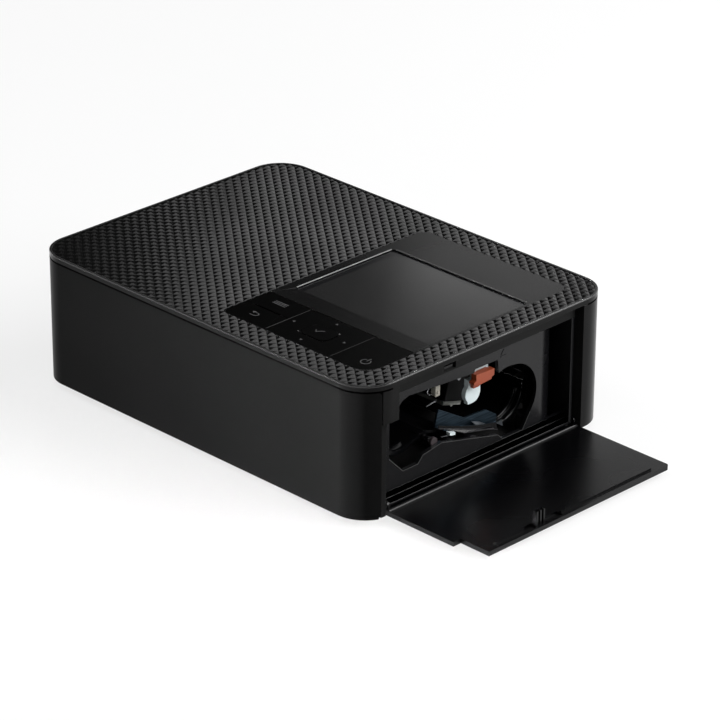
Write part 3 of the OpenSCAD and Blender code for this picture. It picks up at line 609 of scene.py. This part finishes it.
# A black band paints the seam's shadow under the rim.
SEAM_SHADE_OUT, SEAM_SHADE_IN = 0.04, -0.3
SEAM_SHADE_TOP, SEAM_SHADE_FOOT = SEAM + 0.1, SEAM - 0.55
SEAM_SHADE_SECTION = [(SEAM_SHADE_OUT, SEAM_SHADE_TOP), (SEAM_SHADE_OUT, SEAM_SHADE_FOOT), (SEAM_SHADE_IN, SEAM_SHADE_FOOT), (SEAM_SHADE_IN, SEAM_SHADE_TOP)]
case_ring("painted_seam_shadow", SEAM_SHADE_SECTION, painted_shade, past_door=False)


# ---------------------------------------------------------------- the key panel

# Painted highlight lines on the panel's edges round the window: their foot, top and width, the room left at
# the window's corners, and how far the back one reaches into the window.
HIGHLIGHT_FOOT, HIGHLIGHT_TOP, HIGHLIGHT_WIDE = 57.2, 57.4, 0.4
HIGHLIGHT_ROOM, HIGHLIGHT_ROOM_BACK_LEFT, HIGHLIGHT_REACH = 1.0, 1.5, 0.35
# Painted highlight lines in the gaps between the keys: foot, top, front and back end, and half their width.
LINE_FOOT, LINE_TOP = 57.1, 57.32
LINE_FRONT, LINE_BACK, LINE_HALF = -52.8, -29.6, 0.07
DIVIDERS = {"left": 25.0, "right": 59.0}
# Middles of the two painted glints at corners of the middle key's well, their half width and depth, and
# their top. Their foot is the lines' own.
WELL_GLINTS = ((35.2, -46.0), (48.0, -37.1))
WELL_HALF_X, WELL_HALF_Y, WELL_TOP = 0.25, 0.12, 57.36


def painted_panel_highlights():
    """Painted highlights: pale plates along the panel's edges round the window, in the gaps between the
    keys, and at two corners of the key well.
    """
    left, front, right, back = WINDOW
    # Painted highlights on the edges round the window: a bright line on the left one, a dimmer one on the
    # back one.
    left_highlight = rectangle(left - HIGHLIGHT_WIDE / 2, front + HIGHLIGHT_ROOM, left + HIGHLIGHT_WIDE / 2, back - HIGHLIGHT_ROOM)
    back_highlight = rectangle(left + HIGHLIGHT_ROOM_BACK_LEFT, back - HIGHLIGHT_REACH, right - HIGHLIGHT_ROOM, back + HIGHLIGHT_WIDE)
    plate("window_highlight_left", left_highlight, HIGHLIGHT_FOOT, HIGHLIGHT_TOP, spot, edge_highlight_paint, "case")
    plate("window_highlight_back", back_highlight, HIGHLIGHT_FOOT, HIGHLIGHT_TOP, spot, dim_highlight_paint, "case")
    # Pale strips paint highlight lines in the gaps beside the navigation pad.
    for side_name, x in DIVIDERS.items():
        line = rectangle(x - LINE_HALF, LINE_FRONT, x + LINE_HALF, LINE_BACK)
        plate("key_line_" + side_name, line, LINE_FOOT, LINE_TOP, spot, dim_highlight_paint, "case")
    # Pale plates paint glints at two corners of the well round the middle key.
    for number, (x, y) in enumerate(WELL_GLINTS):
        corner = rectangle(x - WELL_HALF_X, y - WELL_HALF_Y, x + WELL_HALF_X, y + WELL_HALF_Y)
        plate("well_glint_%d" % number, corner, LINE_FOOT, WELL_TOP, spot, edge_highlight_paint, "nav_pad")


painted_panel_highlights()

# The pen's width, and how far the ink stands over its key and reaches into it.
PEN = 0.36
INK_THICK, INK_SUNK = 0.03, 0.02
# Middles of the drawn marks, and how far the four way marks stand from theirs.
NAV_MIDDLE = (41.2, -41.1)
POWER_AT, BACK_AT, MENU_AT, OK_AT = (71.5, -46.9), (12.7, -47.1), (13.3, -34.0), (40.9, -40.7)
WAY_X, WAY_Y = 13.3, 9.4


def pictogram(name, outlines, key):
    """Printed marks, a thin film on top of their key, which they ride on."""
    shape = bmesh.new()
    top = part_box(key)[1][2] / MM
    for outline in outlines:
        prism(shape, outline, top - INK_SUNK, top + INK_THICK)
    return piece(name, shape, ink, key)


def marks():
    """A generic sign on each key: power, return, menu, a tick, and a triangle for each way of the pad."""
    x, y = POWER_AT
    ring = stroke(arc(x, y, 1.9, 120, 420, 32), PEN)
    pictogram("power_mark", [ring, stroke([(x, y + 0.4), (x, y + 2.9)], PEN)], "power_key")
    x, y = BACK_AT
    tail = [(x - 0.9, y + 1.2)] + arc(x + 0.8, y, 1.2, 90, -90) + [(x - 1.4, y - 1.2)]
    tip = [(x - 2.1, y + 1.2), (x - 0.8, y + 0.3), (x - 0.8, y + 2.1)]
    pictogram("return_mark", [stroke(tail, PEN), tip], "back_key")
    x, y = MENU_AT
    lines = [stroke([(x - 3.4, y + 0.95 * i), (x + 3.4, y + 0.95 * i)], PEN) for i in (-1, 0, 1)]
    pictogram("menu_mark", lines, "menu_key")
    x, y = OK_AT
    tick = [(x - 1.7, y + 0.1), (x - 0.6, y - 1.1), (x + 1.8, y + 1.3)]
    pictogram("tick_mark", [stroke(tick[:2], PEN), stroke(tick[1:], PEN)], "ok_key")
    x, y = NAV_MIDDLE
    for turn, (dx, dy) in enumerate(((WAY_X, 0), (0, WAY_Y), (-WAY_X, 0), (0, -WAY_Y))):
        out = Vector((dx, dy)).normalized()
        across = Vector((-out.y, out.x))
        at = Vector((x + dx, y + dy))
        corners = [at + out * 0.7, at - out * 0.4 + across * 0.7, at - out * 0.4 - across * 0.7]
        pictogram("way_mark_%d" % turn, [[tuple(c) for c in corners]], "nav_pad")


marks()


# ---------------------------------------------------------------- the cartridge bay

# The middle of the triangle's foot in the side drawing; how far the mark and the opening's rubbed edge
# stand out of the wall, and how far both reach into it.
EJECT_AT = (13.4, 44.9)
MARK_OUT, BEAD_OUT, WALL_GRIP = 0.18, 0.06, 0.05


def eject_mark():
    """A triangle over a bar beside the lever, moulded in one with the bay's wall."""
    shape = bmesh.new()
    low, high = BAY_WALL - WALL_GRIP, BAY_WALL + MARK_OUT
    y, z = EJECT_AT
    prism(shape, [(y - 1.5, z), (y + 1.5, z), (y, z + 2.1)], low, high, side_spot)
    prism(shape, rectangle(y - 1.5, z - 1.1, y + 1.5, z - 0.5), low, high, side_spot)
    piece("eject_mark", shape, frame_abs, "case")


eject_mark()

# Black strips paint shade on the sill's slope, so that only thin lines of the moulding stay lit.
SILL_BACK, SILL_FRONT = -52.0, 47.6
SILL_TOP, SILL_FOOT = (84.2, 9.1), (88.0, 6.3)
SHADE_SHEET_THICK = 0.1


def sill_strip(name, start, end):
    """One black strip of painted shade between two shares of the slope's width."""
    top, foot = Vector(SILL_TOP), Vector(SILL_FOOT)
    out = Vector((top.y - foot.y, foot.x - top.x)).normalized() * SHADE_SHEET_THICK
    high, low = top.lerp(foot, start), top.lerp(foot, end)
    outline = [tuple(p) for p in (high - out, low - out, low + out, high + out)]
    plate(name, outline, SILL_BACK, SILL_FRONT, back_spot, painted_shade, "case")


sill_strip("upper_painted_shade", 0.015, 0.47)
sill_strip("lower_painted_shade", 0.5, 0.975)

# A pale strip paints a highlight along the lower edge of the bay's opening, from its front corner round to
# the rear lobe.
OPENING_EDGE = [(-47.2, 22.2), (-39.9, 14.9), (-32, 15), (-29.4, 17.8), (-19.3, 19.4), (11.3, 11.9),
                (13.9, 9.4), (24.9, 9.4), (29.0, 15.8)]
BEAD_WIDE = 0.3
plate("opening_edge_highlight", stroke([(y, z - BEAD_WIDE / 2) for y, z in OPENING_EDGE], BEAD_WIDE),
      BAY_WALL - WALL_GRIP, BAY_WALL + BEAD_OUT, side_spot, dim_highlight_paint, "case")

# The ribbon's rail: its upper and lower edge in the side drawing, and how far out each one lies.
RAIL_UPPER, RAIL_LOWER = ((-17.6, 23.3), (14.7, 11.9)), ((-4.7, 17.4), (11.8, 13.6))
RAIL_UPPER_X, RAIL_LOWER_X = 80.4, 81.7
# The step from the rail's outer face to its inner one.
RAIL_STEP = (-0.5, 0, -0.3)


def ribbon_rail():
    """A folded black sheet under the ribbon guide."""
    shape = bmesh.new()
    corners = [side_spot(*RAIL_UPPER[0], RAIL_UPPER_X), side_spot(*RAIL_UPPER[1], RAIL_UPPER_X),
               side_spot(*RAIL_LOWER[1], RAIL_LOWER_X), side_spot(*RAIL_LOWER[0], RAIL_LOWER_X)]
    outside = [shape.verts.new(c) for c in corners]
    inside = [shape.verts.new(c + Vector(RAIL_STEP) * MM) for c in corners]
    shape.faces.new(outside)
    shape.faces.new(inside[::-1])
    for i in range(4):
        j = (i + 1) % 4
        shape.faces.new((outside[j], outside[i], inside[i], inside[j]))
    piece("ribbon_rail", shape, tray_styrene, "case")


ribbon_rail()

# Sheet pieces round the rail, drawn from the side: outline, inner and outer face, finish and slot.
SHEET_PIECES = {
    "ribbon_skirt": ([(-17.8, 24.5), (-4.5, 19.7), (5.4, 16.8), (13.7, 15.1), RAIL_UPPER[1], RAIL_UPPER[0]],
                     80.5, 80.75, tray_styrene, "tray_black"),
    "rail_upper_edge": (band(*RAIL_UPPER, 0.3), 80.4, 80.9, worn_steel, "bright_steel"),
    "rail_lower_edge": (band(*RAIL_LOWER, 0.3), 81.2, 81.7, worn_steel, "bright_steel"),
    "rail_stop": ([(-12.85, 19.1), (-10, 18.5), (-10, 19.7), (-12.85, 20.3)], 80.2, 82.2,
                  white_pom, "white_acetal"),
    "rail_spring": (band((-17.5, 20.3), (-13.4, 19.4), 0.3), 81.4, 82.0, bright, "bright_steel"),
    "guide_tab": ([(15.7, 13.4), (19.5, 10.9), (18.9, 13.8)], 78.4, 79.0, zinc, "zinc_steel"),
    "guide_wedge": ([(1.2, 19.4), (3.5, 17.1), (11.9, 13.9), (5.7, 17.7)], 79.4, 80.2, zinc, "zinc_steel"),
    "guide_stay": (band((-21.4, 32.9), (-16.3, 33.5), 0.5), 77.4, 78.0, bright, "bright_steel"),
}
for name, (outline, low, high, finish, slot) in SHEET_PIECES.items():
    plate(name, outline, low, high, side_spot, finish, "case")

# The sensor's return spring bows round its left side: where it lies, and its wire's radius.
BOW_X, BOW_WIRE = 77.5, 0.22
SENSOR_BOW = [(BOW_X, -18.6, 40.6)] + [(BOW_X, y - 0.4, z) for y, z in arc(-18.6, 38.0, 1.5, 100, 250, 10)]
wire("sensor_spring", SENSOR_BOW + [(BOW_X, -17.6, 36.2)], BOW_WIRE, bright)

# A collar hides the locating pin's stem: its middle, its two ends and its radius.
PIN_AT = (-21.6, 19.7)
COLLAR_ENDS, COLLAR_RADIUS = (76, 81.15), 1.3
wire("pin_collar", [(x, *PIN_AT) for x in COLLAR_ENDS], COLLAR_RADIUS, tray_styrene)


# ---------------------------------------------------------------- insides of the connectors

# The data port's tongue: left, front, right and back edge, corner radius, foot and top.
TONGUE = (-87.6, -12.4, -74.5, -2.1)
TONGUE_CORNER, TONGUE_FOOT, TONGUE_TOP = 0.4, 28.9, 30.6
plate("usb_tongue", rounded(*TONGUE, (TONGUE_CORNER,) * 4, 4), TONGUE_FOOT, TONGUE_TOP, spot, epoxy, "case")
# The power inlet's pin: its middle across and up, its two ends and its radius.
INLET_X, INLET_Z = -62, 16
INLET_ENDS, INLET_RADIUS = (55, 61.5), 0.8
wire("inlet_pin", [(INLET_X, y, INLET_Z) for y in INLET_ENDS], INLET_RADIUS, brass)


# ---------------------------------------------------------------- stage, lamps, camera

# Share of the floor's whiteness that is its own: the rest comes from the lamps and holds the shadow.
FLOOR_GLOW = 0.72
# Half the floor's width, in metres.
FLOOR_REACH = 6.0


def stage_floor():
    """A plain pale floor, wide enough to reach past the view on every side."""
    shape = bmesh.new()
    bmesh.ops.create_grid(shape, x_segments=2, y_segments=2, size=FLOOR_REACH)
    floor = as_object("studio_floor", shape)
    # Matt white paper: an even diffuse sheet; its own paleness keeps shadows light.
    paper, tree, place = new_finish("matt_white_paper")
    white = blend(tree, noise(tree, place, 40, 2.0), "#ebebeb", "#ededed")
    sheet = put(tree, "BsdfDiffuse", {"Color": white})
    rays = put(tree, "LightPath").outputs
    seen = math_node(tree, "ADD", rays["Is Camera Ray"], rays["Is Glossy Ray"])
    seen = math_node(tree, "ADD", seen, rays["Is Transmission Ray"])
    glow = put(tree, "Emission", {"Color": (1, 1, 1, 1), "Strength": 1.0})
    share = math_node(tree, "MULTIPLY", seen, FLOOR_GLOW, use_clamp=True)
    mixed = put(tree, "MixShader", {0: share, 1: sheet.outputs[0], 2: glow.outputs[0]})
    put(tree, "OutputMaterial", {"Surface": mixed.outputs[0]})
    floor.data.materials.append(paper)


stage_floor()


def lamp(name, at, wide, high, radiance, aim=(0, 0, 0.04), grid=180):
    """A softbox: its place, width and height in metres, how bright its face is, and its grid's angle."""
    light = bpy.data.lights.new(name, "AREA")
    light.shape = "RECTANGLE"
    light.size, light.size_y = wide, high
    light.energy = radiance * math.pi * wide * high
    light.spread = math.radians(grid)
    holder = bpy.data.objects.new(name, light)
    holder.location = at
    holder.rotation_euler = (Vector(aim) - Vector(at)).to_track_quat("-Z", "Y").to_euler()
    bpy.context.scene.collection.objects.link(holder)


lamp("softbox_top", (0.3, -0.5, 1.4), 0.9, 0.9, 1.8)
lamp("softbox_front_left", (-0.63, -0.63, 1.07), 0.8, 0.8, 2.2)
lamp("softbox_back_right", (0.62, 0.9, 0.9), 0.6, 0.6, 10.0)
lamp("gridded_front", (-0.95, -1.1, 0.16), 0.15, 0.15, 9.5, (0.12, -0.06, 0.04), 11)
lamp("softbox_back", (0.3, 1.3, 0.35), 0.6, 0.4, 3.0)
lamp("softbox_left", (-1.3, -0.1, 0.4), 0.6, 0.4, 4.0)
lamp("softbox_right", (1.0, 0.3, 0.7), 0.5, 0.5, 14.0)
lamp("softbox_high_left", (-0.7, 0.64, 1.24), 0.35, 0.35, 3.2)
lamp("strip_behind", (-0.29, 0.56, 0.275), 0.34, 0.12, 1.45)

# How bright the studio is where it is dim, and where its pale wall stands low behind the object.
STUDIO_DIM, STUDIO_WALL = 0.04, 1.2


def studio():
    """The studio round the table: pale low down behind the object, dim everywhere else."""
    world = bpy.data.worlds.new("studio")
    bpy.context.scene.world = world
    world.use_nodes = True
    sky = world.node_tree
    sky.nodes.clear()
    way = put(sky, "SeparateXYZ", {0: put(sky, "TexCoord").outputs["Generated"]}).outputs
    behind = remap(sky, math_node(sky, "ADD", way["X"], way["Y"]), 0.0, 1.0, 0.7, 1.2)
    low_down = remap(sky, way["Z"], STUDIO_WALL, 0.0, 0.1, 0.25)
    level = math_node(sky, "ADD", math_node(sky, "MULTIPLY", behind, low_down), STUDIO_DIM)
    backing = put(sky, "Background", {"Color": (1, 1, 1, 1), "Strength": level})
    put(sky, "OutputWorld", {"Surface": backing.outputs[0]})


studio()

# The camera stands 1.44 m away, 25 degrees up, off the front right corner.
AZIMUTH, ELEVATION, ROLL = math.radians(44.98), math.radians(25.324), math.radians(0.327)
DISTANCE, SENSOR, LENS = 1.44347, 36, 186.11
NEAREST, FARTHEST = 0.05, 20
MIDDLE_HEIGHT = 28.8
# How far the object stands from the middle of the view, in millimetres across and up.
AIM_ACROSS, AIM_UP = 15.289, -9.5606


def studio_camera():
    """Looks along its heading at the case's middle, which stands a little off the middle of the view."""
    back = Vector((math.sin(AZIMUTH) * math.cos(ELEVATION), -math.cos(AZIMUTH) * math.cos(ELEVATION),
                   math.sin(ELEVATION)))
    side = (-back).cross(Vector((0, 0, 1))).normalized()
    upright = side.cross(-back)
    side, upright = (side * math.cos(ROLL) + upright * math.sin(ROLL),
                     upright * math.cos(ROLL) - side * math.sin(ROLL))
    aim = spot(0, 0, MIDDLE_HEIGHT) + side * AIM_ACROSS * MM + upright * AIM_UP * MM
    eye = aim + back * DISTANCE
    camera = bpy.data.objects.new("camera", bpy.data.cameras.new("camera"))
    camera.data.sensor_width = SENSOR
    camera.data.lens = LENS
    camera.data.clip_start, camera.data.clip_end = NEAREST, FARTHEST
    rows = [[side[i], upright[i], back[i], eye[i]] for i in range(3)]
    camera.matrix_world = Matrix(rows + [[0, 0, 0, 1]])
    bpy.context.scene.collection.objects.link(camera)
    bpy.context.scene.camera = camera


studio_camera()
bpy.context.scene.view_settings.view_transform = "Standard"
